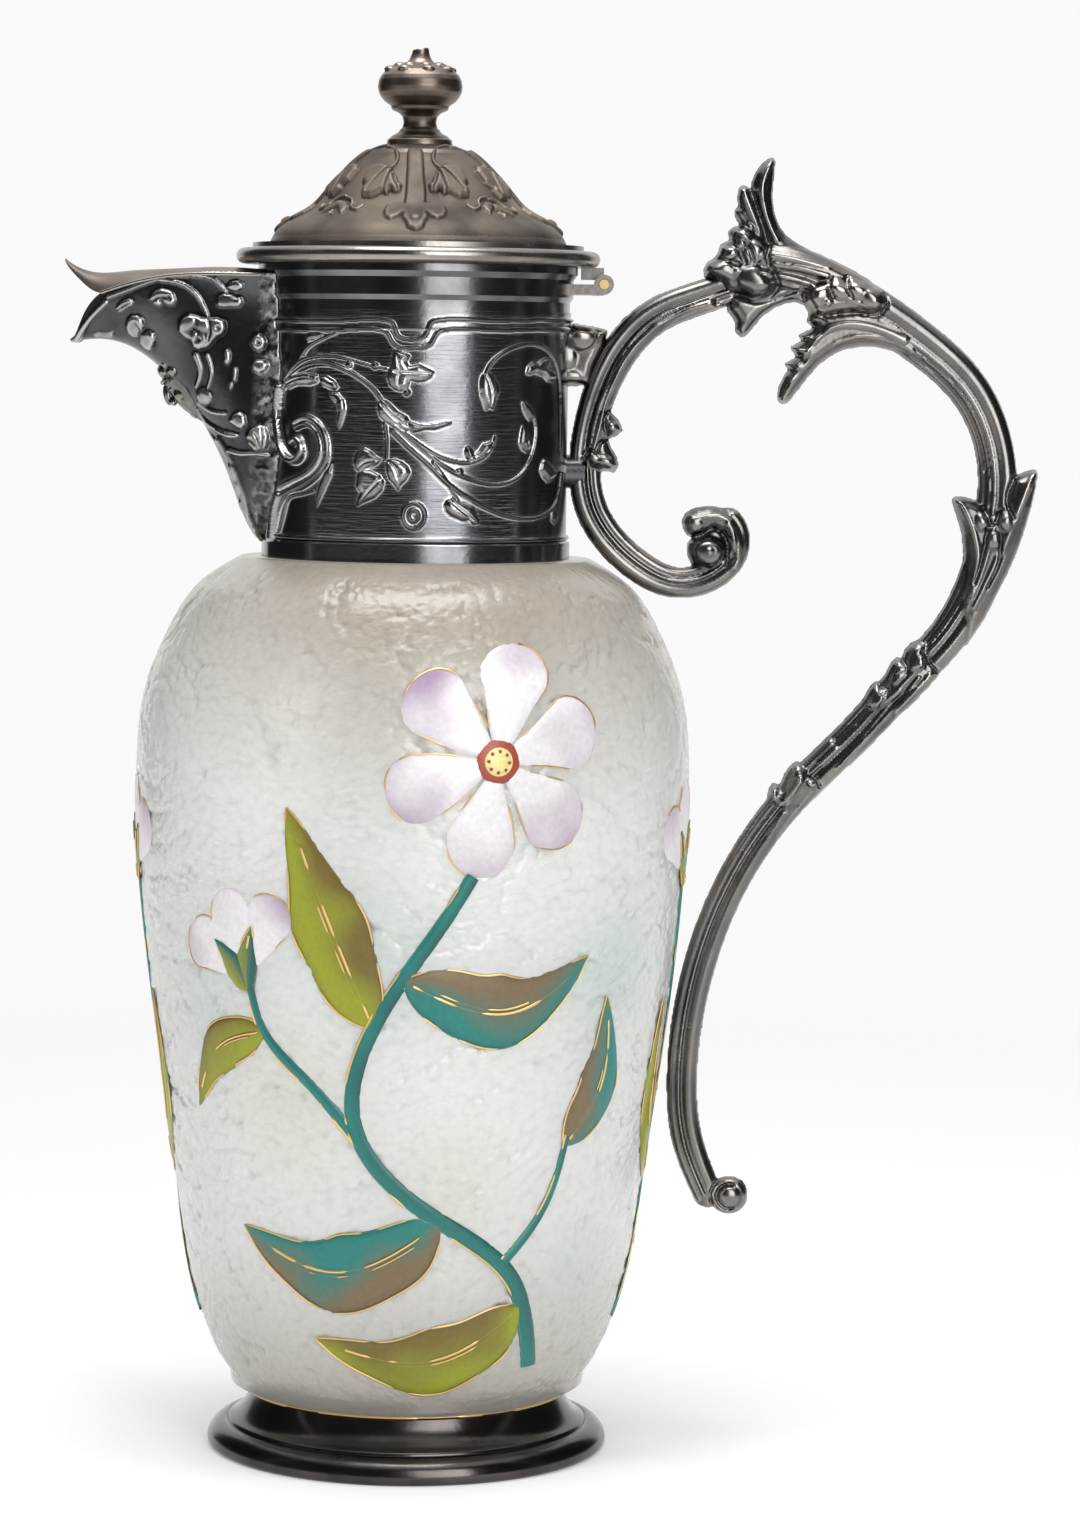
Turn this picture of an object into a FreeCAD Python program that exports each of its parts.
import FreeCAD, Part
import math
import os

# Serving carafe: a glass body in metal mounts, with a hinged lid, a beak spout and a scrolled handle.
# Millimetres, +Z up. The origin is the centre of the foot's underside.
# The spout points to -X, the hinge and the handle to +X.

# Foot
foot_lip_radius = 33.6
foot_scotia_depth = 5.0
foot_rim_width = 4.5
foot_rim_height = 5.0
foot_rim_bulge = 1.1
foot_flat_width = 2.4
foot_height = 12.4
foot_wall = 1.4
foot_bed_depth = 3.2

# Glass body
glass_radius = 59.3
glass_wall = 3.6
glass_base_wall = 5.0
glass_seat_stand = 1.0
glass_seat_lift = 0.4
glass_plug_clearance = 0.3
glass_seat_drop = 3.4
shoulder_height = 192.0
shoulder_ledge = 4.5
neck_wall = 3.4
neck_length = 30.0

# Neck mount
collar_radius = 32.1
collar_wall = 1.0
collar_height = 61.9
collar_cement_thickness = 1.9
collar_cement_length = 27.0
base_ring_height = 3.6
base_ring_stand = 0.8
mouth_mould_height = 13.6
mouth_mould_stand = 1.9

# Spout
spout_reach = 74.0
spout_half_width = 15.4
hood_thickness = 1.2
window_height = 23.0
window_below_mouth = 2.8
mask_height = 21.0
mask_width = 14.0
mask_depth = 9.0
mask_tilt = 38.0
mask_below_mouth = 29.0
mask_reach_share = 0.655

# Lid
lid_gap = 0.1
flange_overhang = 4.7
flange_height = 3.3
lid_step_inset = 3.5
lid_step_height = 1.1
dome_inset = 3.6
dome_height = 20.9
dome_wall = 1.0
bezel_clearance = 1.3
bezel_wall = 0.9
bezel_depth = 3.4

# Finial
finial_radius = 9.0
finial_height = 20.7
stud_radius = 1.9
stud_clearance = 0.1
stud_end_length = 0.8
nut_radius = 3.6
nut_height = 2.6
washer_radius = 5.2
washer_height = 0.8

# Hinge
hinge_reach = 7.4
hinge_drop = 3.5
knuckle_radius = 2.1
pin_radius = 1.0
pin_clearance = 0.05
pin_head_stand = 0.5
outer_knuckle_length = 4.2
middle_knuckle_length = 5.6
knuckle_gap = 0.2
leaf_thickness = 2.2
leaf_clearance = 0.6

# Handle
upper_boss_radius = 5.0
lower_pad_radius = 3.6
tail_volute_radius = 4.5
tail_volute_width = 7.0
scroll_eye_radius = 3.6
scroll_eye_width = 5.3
glass_to_collar_step = 27.2
scroll_toe_out = 3.9
scroll_bend_out = 20.0

# Levels and radii worked out from the dimensions above
foot_step_radius = foot_lip_radius + foot_scotia_depth
foot_radius = foot_step_radius + foot_rim_width
stand_radius = foot_radius - foot_rim_bulge
collar_bottom = shoulder_height
mouth_level = collar_bottom + collar_height
collar_bore = collar_radius - collar_wall
base_ring_radius = collar_radius + base_ring_stand
mouth_radius = collar_radius + mouth_mould_stand
neck_radius = collar_bore - collar_cement_thickness
neck_bore = neck_radius - neck_wall
neck_top = shoulder_height + neck_length
ledge_radius = base_ring_radius + shoulder_ledge
glass_seat_radius = foot_lip_radius + glass_seat_stand
glass_seat_height = foot_height + glass_seat_lift
glass_base_height = glass_seat_height - glass_seat_drop
glass_plug_radius = foot_lip_radius - foot_wall - glass_plug_clearance
flange_radius = mouth_radius + flange_overhang
lid_step_radius = flange_radius - lid_step_inset
dome_radius = lid_step_radius - dome_inset
flange_bottom = mouth_level + lid_gap
flange_top = flange_bottom + flange_height
dome_base = flange_top + lid_step_height
dome_top = dome_base + dome_height
bezel_radius = collar_bore - bezel_clearance
hinge_x = collar_radius + hinge_reach
hinge_z = mouth_level - hinge_drop
hinge_half_width = middle_knuckle_length / 2 + knuckle_gap + outer_knuckle_length
handle_shift = max(0.0, glass_radius - collar_radius - glass_to_collar_step)

# Outline of the glass from the foot to the shoulder: (share of its height, share of its radius)
glass_outline = [
    (0.022, 0.647),
    (0.070, 0.729),
    (0.242, 0.842),
    (0.415, 0.914),
    (0.560, 0.966),
    (0.745, 1.0),
    (0.850, 0.965),
    (0.915, 0.885),
    (0.964, 0.790),
]

# Outline of the dome from its base upwards: (share of its height, share of its radius)
dome_outline = [
    (0.0, 1.0),
    (0.11, 0.962),
    (0.21, 0.885),
    (0.37, 0.705),
    (0.54, 0.605),
    (0.72, 0.500),
    (0.90, 0.370),
    (1.0, 0.245),
]

# Outline of the knob from its base upwards: (share of its height, share of its radius)
knob_outline = [
    (0.105, 0.78),
    (0.165, 0.60),
    (0.235, 0.44),
    (0.300, 0.45),
    (0.400, 0.67),
    (0.500, 0.92),
    (0.600, 1.0),
    (0.700, 0.93),
    (0.775, 0.78),
    (0.835, 0.46),
    (0.900, 0.25),
    (1.0, 0.17),
]

# Stations of the beak along its reach:
# (share of the reach, share of the half width, rim below the mouth, floor below the mouth)
beak_stations = [
    (0.34, 1.06, 2.1, 60.4),
    (0.42, 1.0, 2.1, 59.8),
    (0.47, 0.95, 2.0, 57.2),
    (0.54, 0.88, 2.0, 45.2),
    (0.61, 0.80, 2.1, 34.4),
    (0.67, 0.74, 2.2, 27.6),
    (0.74, 0.67, 2.8, 22.2),
    (0.82, 0.60, 4.2, 18.0),
    (0.90, 0.49, 6.3, 16.3),
    (0.96, 0.33, 11.6, 16.5),
    (1.0, 0.07, 16.1, 17.1),
]

# Stations of the channel in the beak: same meaning, and it runs on into the collar
channel_stations = [
    (0.30, 0.78, -4.0, 26.0),
    (0.44, 0.78, -4.0, 25.6),
    (0.58, 0.72, -4.0, 24.8),
    (0.67, 0.64, -4.0, 24.0),
    (0.74, 0.56, -4.0, 20.2),
    (0.82, 0.49, -4.0, 16.2),
    (0.90, 0.38, -4.0, 14.7),
    (0.96, 0.22, -4.0, 14.9),
    (1.02, 0.06, -4.0, 15.4),
]

# Stations of the hood: (share of the reach, share of the half width, edge below the mouth, ridge below)
hood_stations = [
    (0.34, 1.06, 2.4, 1.0),
    (0.52, 0.90, 2.4, 0.8),
    (0.65, 0.76, 2.5, 1.0),
    (0.76, 0.655, 3.5, 1.4),
    (0.84, 0.575, 5.0, 1.8),
    (0.905, 0.47, 6.6, 2.2),
    (0.955, 0.29, 4.7, 1.7),
    (0.99, 0.15, 2.3, 0.6),
    (1.015, 0.05, -0.2, -0.8),
]

# Spines of the handle, root first: (out from the collar, below the mouth, radius) of round sections
inner_scroll_spine = [
    (33.9, 3.9, 3.4),
    (26.4, 6.5, 3.5),
    (18.9, 9.7, 3.6),
    (11.1, 17.5, 3.7),
    (5.9, 29.3, 3.4),
    (scroll_toe_out, 43.2, 3.3),
    (5.3, 50.9, 3.3),
    (9.2, 57.4, 3.3),
    (15.6, 63.2, 3.3),
    (23.4, 66.6, 3.2),
    (30.7, 65.2, 3.2),
    (35.4, 60.9, 3.1),
    (36.1, 55.7, 2.9),
    (32.9, 52.3, 2.7),
    (29.3, 52.9, 2.4),
]
upper_boss_drop = 17.5
lower_pad_drop = 43.2
scroll_eye = (31.9, 59.3)
inner_scroll_leaf = [(6.5, 34.9, 3.2), (9.5, 37.9, 2.6), (12.2, 40.9, 0.6)]
main_scroll_spine = [
    (35.4, -1.1, 5.2),
    (44.4, -1.3, 6.8),
    (54.9, 2.3, 6.0),
    (65.4, 8.3, 5.0),
    (75.4, 15.3, 4.5),
    (85.2, 24.3, 4.2),
    (91.5, 38.9, 4.0),
    (90.5, 57.9, 4.4),
    (83.7, 74.9, 4.1),
    (72.9, 87.5, 4.0),
    (61.9, 99.6, 3.8),
    (49.7, 111.9, 3.6),
    (37.2, 130.1, 3.4),
    (28.7, 154.5, 3.3),
    (26.6, 172.9, 3.2),
    (27.8, 186.4, 3.2),
    (32.5, 198.7, 3.0),
]
tail_volute = (36.9, 199.1)
crown_thorn = [(39.4, -2.1, 6.6), (38.9, -10.6, 4.4), (40.9, -17.6, 2.2), (43.4, -23.7, 0.5)]
crown_lobe = [(39.9, -3.1, 6.0), (35.4, -3.3, 5.0), (31.9, -1.1, 2.2)]
crown_barb = [(38.3, 1.4, 5.0), (37.5, 6.9, 3.2), (37.8, 13.3, 0.5)]
arch_barb = [(59.9, 6.3, 5.2), (53.4, 13.9, 3.9), (48.9, 21.3, 2.2), (47.1, 27.6, 0.5)]
sheath_thorn_out = [(91.3, 59.9, 4.6), (94.9, 51.4, 3.0), (100.9, 41.1, 0.5)]
sheath_thorn_in = [(90.3, 60.9, 4.4), (87.9, 53.4, 2.8), (83.7, 47.3, 0.5)]
main_scroll_thorns = [crown_thorn, crown_lobe, crown_barb, arch_barb, sheath_thorn_out, sheath_thorn_in]
sections_per_step = 2


def vector(x, y, z):
    return FreeCAD.Vector(x, y, z)


def spline_edge(points):
    """Smooth edge in the XZ half plane through (radius, height) points."""
    curve = Part.BSplineCurve()
    curve.interpolate([vector(r, 0, z) for r, z in points])
    return curve.toShape()


def line_edges(points):
    """Straight edges in the XZ half plane through (radius, height) points."""
    corners = [vector(r, 0, z) for r, z in points]
    return [Part.makeLine(start, end) for start, end in zip(corners, corners[1:])]


def arc_edge(start, middle, end):
    """Arc in the XZ half plane through three (radius, height) points."""
    corners = [vector(r, 0, z) for r, z in (start, middle, end)]
    return Part.Arc(*corners).toShape()


def turned(edges):
    """Solid of revolution about Z from the edges of a closed half section."""
    face = Part.Face(Part.Wire(edges))
    return face.revolve(vector(0, 0, 0), vector(0, 0, 1), 360)


def turned_polygon(points):
    """Solid of revolution about Z of a closed polygon."""
    return turned(line_edges(points + points[:1]))


def tube(bottom, top, outer, inner):
    """Plain ring between two levels."""
    return turned_polygon([(inner, bottom), (outer, bottom), (outer, top), (inner, top)])


def cylinder_along_y(x, z, radius, length):
    """Cylinder along Y, centred on the XZ plane."""
    return Part.makeCylinder(radius, length, vector(x, -length / 2, z), vector(0, 1, 0))


def scaled_outline(outline, bottom, height, radius):
    """Points (radius, height) from an outline given in shares."""
    return [(share_r * radius, bottom + share_z * height) for share_z, share_r in outline]


# Glass


def glass_outer_points():
    """Outer face of the glass, from the foot's lip up to the edge of the ledge."""
    height = shoulder_height - glass_seat_height
    belly = scaled_outline(glass_outline, glass_seat_height, height, glass_radius)
    return [(glass_seat_radius, glass_seat_height)] + belly + [(ledge_radius, shoulder_height)]


def make_glass():
    outer = glass_outer_points()
    inner = [(r - glass_wall, z) for r, z in outer[2:-1]]
    base_radius = glass_plug_radius - 0.9 * glass_seat_drop
    base_top = glass_base_height + glass_base_wall
    plug_edge = (glass_plug_radius, foot_height)
    plug_bend = (glass_plug_radius - 0.25 * glass_seat_drop, glass_base_height + 0.25 * glass_seat_drop)
    floor_radius = inner[0][0] - 0.45 * glass_wall
    neck_root = (neck_bore, shoulder_height - 0.2 * glass_wall)
    shoulder_bend = (neck_bore + 0.3 * glass_wall, shoulder_height - glass_wall)
    neck_corners = [outer[-1], (neck_radius, shoulder_height), (neck_radius, neck_top), (neck_bore, neck_top)]
    base_corners = [inner[0], (floor_radius, base_top), (0, base_top), (0, glass_base_height)]
    edges = [
        spline_edge(outer),
        *line_edges(neck_corners + [neck_root]),
        spline_edge([neck_root, shoulder_bend] + inner[::-1]),
        *line_edges(base_corners + [(base_radius, glass_base_height)]),
        arc_edge((base_radius, glass_base_height), plug_bend, plug_edge),
        *line_edges([plug_edge, outer[0]]),
    ]
    return turned(edges)


# Foot


def foot_inner_points():
    """Inner face of the foot, from the lip down to the underside."""
    return [
        (foot_lip_radius - foot_wall, foot_height),
        (foot_step_radius - 1.8 * foot_wall, foot_rim_height),
        (foot_radius - 2.4 * foot_wall, foot_rim_height / 2),
        (stand_radius - foot_flat_width, 0),
    ]


def make_foot():
    stand_edge = (stand_radius, 0)
    rim_top = (foot_radius - foot_rim_bulge, 0.7 * foot_rim_height)
    step = (foot_step_radius, foot_rim_height)
    scotia_height = foot_height - foot_rim_height
    scotia_low = (foot_lip_radius + 0.86 * foot_scotia_depth, foot_rim_height + 0.07 * scotia_height)
    scotia_mid = (foot_lip_radius + 0.30 * foot_scotia_depth, foot_rim_height + 0.5 * scotia_height)
    lip = (foot_lip_radius, foot_height)
    edges = [
        arc_edge(stand_edge, (foot_radius, 0.3 * foot_rim_height), rim_top),
        *line_edges([rim_top, step, scotia_low]),
        arc_edge(scotia_low, scotia_mid, lip),
        *line_edges([lip] + foot_inner_points() + [stand_edge]),
    ]
    return turned(edges)


def make_foot_cement(glass):
    lip, step = foot_inner_points()[:2]
    bed_radius = step[0] - foot_wall / 2
    bed = [(0, foot_bed_depth), (bed_radius, foot_bed_depth), step, lip, (0, foot_height)]
    return turned_polygon(bed).cut(glass)


# Neck mount


def mouth_mould_points():
    """Outer face of the mouth mould, upwards: bead, scotia, band and rim."""
    bottom = mouth_level - mouth_mould_height
    profile = [
        (0.26, 0.0),
        (0.26, 0.14),
        (0.16, 0.20),
        (0.16, 0.45),
        (0.52, 0.53),
        (0.52, 0.80),
        (1.0, 0.89),
        (1.0, 1.0),
    ]
    return [
        (collar_radius + stand * mouth_mould_stand, bottom + rise * mouth_mould_height) for stand, rise in profile
    ]


def make_neck_block():
    """Everything inside the outer face of the neck mount, as one solid to fit pieces against."""
    ring_top = collar_bottom + base_ring_height
    mould = mouth_mould_points()
    ring = [(0, collar_bottom), (base_ring_radius, collar_bottom), (base_ring_radius, ring_top)]
    sleeve = [(collar_radius, ring_top), (collar_radius, mould[0][1])]
    return turned_polygon(ring + sleeve + mould + [(0, mouth_level)])


def make_window(channel):
    """The part of the channel that pierces the collar, below the mouth's rim."""
    size = 2 * spout_reach
    low = mouth_level - window_below_mouth - window_height
    keep = Part.makeBox(size, size, window_height, vector(-size, -size / 2, low))
    return channel.common(keep)


def make_collar(window):
    return tube(collar_bottom, mouth_level, collar_radius, collar_bore).cut(window)


def make_base_ring():
    return tube(collar_bottom, collar_bottom + base_ring_height, base_ring_radius, collar_radius)


def make_mouth_ring(window):
    mould = mouth_mould_points()
    profile = [(collar_radius, mould[0][1])] + mould + [(collar_radius, mouth_level)]
    return turned_polygon(profile).cut(window)


def make_collar_cement():
    return tube(collar_bottom, collar_bottom + collar_cement_length, collar_bore, neck_radius)


# Spout


def spout_x(share):
    return -share * spout_reach


def section_curve(x, half_points):
    """Smooth curve in the plane at x through (y, z) points on one side and their mirror image."""
    mirrored = [(-y, z) for y, z in half_points[-2::-1]]
    curve = Part.BSplineCurve()
    curve.interpolate([vector(x, y, z) for y, z in half_points + mirrored])
    return curve.toShape()


def trough_section(share, width_share, rim_drop, floor_drop):
    """Closed U section of the beak: a flat rim and a rounded floor."""
    x = spout_x(share)
    half = width_share * spout_half_width
    rim = mouth_level - rim_drop
    floor = mouth_level - floor_drop
    depth = rim - floor
    side = [(half, rim), (0.96 * half, rim - 0.45 * depth), (0.60 * half, floor + 0.10 * depth), (0, floor)]
    rim_line = Part.makeLine(vector(x, -half, rim), vector(x, half, rim))
    return Part.Wire([section_curve(x, side), rim_line])


def hood_section(share, width_share, edge_drop, ridge_drop):
    """Closed crescent section of the hood plate."""
    x = spout_x(share)
    half = width_share * spout_half_width
    inner_half = half - min(hood_thickness, 0.4 * half)
    edge = mouth_level - edge_drop
    rise = edge_drop - ridge_drop
    inner_rise = rise - min(hood_thickness, 0.5 * rise)
    outer = [(half, edge), (0.72 * half, edge + 0.72 * rise), (0, edge + rise)]
    inner = [(inner_half, edge), (0.72 * inner_half, edge + 0.72 * inner_rise), (0, edge + inner_rise)]
    far_edge = Part.makeLine(vector(x, -half, edge), vector(x, -inner_half, edge))
    near_edge = Part.makeLine(vector(x, inner_half, edge), vector(x, half, edge))
    return Part.Wire([section_curve(x, outer), far_edge, section_curve(x, inner), near_edge])


def make_channel():
    return Part.makeLoft([trough_section(*station) for station in channel_stations], True, False)


def make_beak_block():
    return Part.makeLoft([trough_section(*station) for station in beak_stations], True, False)


def make_beak(beak_block, channel, neck_block):
    return largest_solid(beak_block.cut(channel).cut(neck_block))


def make_hood(beak_block, neck_block):
    plate = Part.makeLoft([hood_section(*station) for station in hood_stations], True, False)
    return largest_solid(plate.cut(beak_block).cut(neck_block))


def make_mask(beak_block, neck_block):
    """Plain oval mask with a nose, laid against the underside of the beak."""
    stretch = FreeCAD.Matrix()
    stretch.scale(mask_depth / 2, mask_width / 2, mask_height / 2)
    oval = Part.makeSphere(1).transformGeometry(stretch)
    nose_length = 0.24 * mask_height
    nose_root = vector(-0.36 * mask_depth, 0, -0.08 * mask_height)
    nose = Part.makeCone(0.12 * mask_width, 0.04 * mask_width, nose_length, nose_root)
    head = oval.fuse(nose)
    head.rotate(vector(0, 0, 0), vector(0, 1, 0), -mask_tilt)
    head.translate(vector(spout_x(mask_reach_share), 0, mouth_level - mask_below_mouth))
    return largest_solid(head.cut(beak_block).cut(neck_block))


# Lid


def make_lid_rim():
    edge_radius = flange_height / 2
    straight = flange_radius - edge_radius
    low = (straight, flange_bottom)
    high = (straight, flange_top)
    step = [(lid_step_radius, flange_top), (lid_step_radius, dome_base)]
    inside = [(bezel_radius, dome_base), (bezel_radius, flange_bottom)]
    edges = [
        arc_edge(low, (flange_radius, flange_bottom + edge_radius), high),
        *line_edges([high] + step + inside + [low]),
    ]
    return turned(edges)


def make_bezel():
    return tube(flange_bottom - bezel_depth, dome_base, bezel_radius, bezel_radius - bezel_wall)


def make_dome():
    outer = scaled_outline(dome_outline, dome_base, dome_height, dome_radius)
    ceiling = dome_top - dome_wall
    inner = [(r - dome_wall, z) for r, z in outer[:-2]]
    inner.append((outer[-2][0] - dome_wall, ceiling))
    hole = stud_radius + stud_clearance
    edges = [
        spline_edge(outer),
        *line_edges([outer[-1], (hole, dome_top), (hole, ceiling), inner[-1]]),
        spline_edge(inner[::-1]),
        *line_edges([inner[0], outer[0]]),
    ]
    return turned(edges)


def make_finial():
    points = scaled_outline(knob_outline, dome_top, finial_height, finial_radius)
    disc_radius = points[0][0]
    stud_end = dome_top - dome_wall - washer_height - nut_height - stud_end_length
    axis_line = [points[-1], (0, points[-1][1]), (0, stud_end), (stud_radius, stud_end)]
    disc_line = [(stud_radius, dome_top), (disc_radius, dome_top), points[0], points[1]]
    return turned([spline_edge(points[1:]), *line_edges(axis_line + disc_line)])


def make_washer():
    top = dome_top - dome_wall
    return tube(top - washer_height, top, washer_radius, stud_radius)


def make_nut():
    top = dome_top - dome_wall - washer_height
    angles = [math.radians(60 * side) for side in range(7)]
    corners = [vector(nut_radius * math.cos(a), nut_radius * math.sin(a), top) for a in angles]
    prism = Part.Face(Part.makePolygon(corners)).extrude(vector(0, 0, -nut_height))
    return prism.cut(Part.makeCylinder(stud_radius, nut_height, vector(0, 0, top - nut_height)))


# Hinge


def make_hinge_leaf_collar(neck_block):
    """Plate from the collar with the two outer knuckles."""
    width = 2 * hinge_half_width
    plate_x = collar_bore
    plate_corner = vector(plate_x, -hinge_half_width, hinge_z - leaf_thickness)
    plate = Part.makeBox(hinge_x - plate_x, width, leaf_thickness, plate_corner)
    barrel = cylinder_along_y(hinge_x, hinge_z, knuckle_radius, width)
    slot_half = middle_knuckle_length / 2 + knuckle_gap
    slot_depth = 4 * knuckle_radius
    slot_corner = vector(hinge_x - knuckle_radius - 2 * knuckle_gap, -slot_half, hinge_z - slot_depth / 2)
    slot = Part.makeBox(slot_depth, 2 * slot_half, slot_depth, slot_corner)
    bore = cylinder_along_y(hinge_x, hinge_z, pin_radius, width)
    return plate.fuse(barrel).cut(slot).cut(bore).cut(neck_block)


def make_hinge_leaf_lid():
    """Web under the flange with the middle knuckle."""
    width = middle_knuckle_length
    web_x = mouth_radius + leaf_clearance
    web_bottom = hinge_z + knuckle_radius / 2
    web_corner = vector(web_x, -width / 2, web_bottom)
    web = Part.makeBox(hinge_x - web_x, width, flange_bottom - web_bottom, web_corner)
    barrel = cylinder_along_y(hinge_x, hinge_z, knuckle_radius, width)
    bore = cylinder_along_y(hinge_x, hinge_z, pin_radius + pin_clearance, width)
    return web.fuse(barrel).cut(bore)


def make_hinge_pin():
    return cylinder_along_y(hinge_x, hinge_z, pin_radius, 2 * (hinge_half_width + pin_head_stand))


# Handle


def handle_point(out, drop):
    """Place (x, z) of a point given out from the collar and below the mouth.

    The toe keeps its place by the collar, and the grip moves out with a wider glass.
    """
    share = (out - scroll_toe_out) / (scroll_bend_out - scroll_toe_out)
    shift = handle_shift * min(1.0, max(0.0, share))
    return collar_radius + out + shift, mouth_level - drop


def round_stroke(spine):
    """Solid of round sections that follow a spine in the XZ plane."""
    knots = []
    for out, drop, radius in spine:
        x, z = handle_point(out, drop)
        knots.append(vector(x, radius, z))
    curve = Part.BSplineCurve()
    curve.interpolate(knots)
    steps = sections_per_step * (len(spine) - 1)
    sections = []
    for index in range(steps + 1):
        parameter = curve.FirstParameter + (curve.LastParameter - curve.FirstParameter) * index / steps
        knot = curve.value(parameter)
        slope = curve.tangent(parameter)[0]
        circle = Part.makeCircle(knot.y, vector(knot.x, 0, knot.z), vector(slope.x, 0, slope.z))
        sections.append(Part.Wire([circle]))
    return Part.makeLoft(sections, True, False)


def make_main_scroll():
    solid = round_stroke(main_scroll_spine)
    for thorn in main_scroll_thorns:
        solid = solid.fuse(round_stroke(thorn))
    volute = cylinder_along_y(*handle_point(*tail_volute), tail_volute_radius, tail_volute_width)
    return solid.fuse(volute)


def make_inner_scroll(main_scroll):
    eye = cylinder_along_y(*handle_point(*scroll_eye), scroll_eye_radius, scroll_eye_width)
    solid = round_stroke(inner_scroll_spine).fuse(eye).fuse(round_stroke(inner_scroll_leaf))
    return largest_solid(solid.cut(main_scroll))


def make_stub(drop, radius, neck_block, scroll):
    """Stub along X that joins the collar and the inner scroll."""
    centre = min(inner_scroll_spine, key=lambda knot: abs(knot[1] - drop))
    end_x, level = handle_point(centre[0], drop)
    stub = Part.makeCylinder(radius, end_x - collar_bore, vector(collar_bore, 0, level), vector(1, 0, 0))
    return largest_solid(stub.cut(neck_block).cut(scroll))


def largest_solid(shape):
    return max(shape.Solids, key=lambda solid: solid.Volume)


def make_parts():
    neck_block = make_neck_block()
    channel = make_channel()
    window = make_window(channel)
    beak_block = make_beak_block()
    glass = make_glass()
    main_scroll = make_main_scroll()
    inner_scroll = make_inner_scroll(main_scroll)
    return {
        "glass_body": glass,
        "foot_ring": make_foot(),
        "foot_cement": make_foot_cement(glass),
        "collar_cement": make_collar_cement(),
        "neck_collar": make_collar(window),
        "collar_base_ring": make_base_ring(),
        "collar_mouth_ring": make_mouth_ring(window),
        "spout_beak": make_beak(beak_block, channel, neck_block),
        "spout_hood": make_hood(beak_block, neck_block),
        "spout_mask": make_mask(beak_block, neck_block),
        "lid_rim": make_lid_rim(),
        "lid_bezel": make_bezel(),
        "lid_dome": make_dome(),
        "finial_knob": make_finial(),
        "finial_washer": make_washer(),
        "finial_nut": make_nut(),
        "hinge_leaf_collar": make_hinge_leaf_collar(neck_block),
        "hinge_leaf_lid": make_hinge_leaf_lid(),
        "hinge_pin": make_hinge_pin(),
        "handle_upper_boss": make_stub(upper_boss_drop, upper_boss_radius, neck_block, inner_scroll),
        "handle_lower_pad": make_stub(lower_pad_drop, lower_pad_radius, neck_block, inner_scroll),
        "handle_inner_scroll": inner_scroll,
        "handle_main_scroll": main_scroll,
    }


os.makedirs("parts", exist_ok=True)
for node, shape in make_parts().items():
    print(node, "solids", len(shape.Solids), "valid", shape.isValid(), "volume", round(shape.Volume, 1))
    shape.exportStep("parts/" + node + ".step")
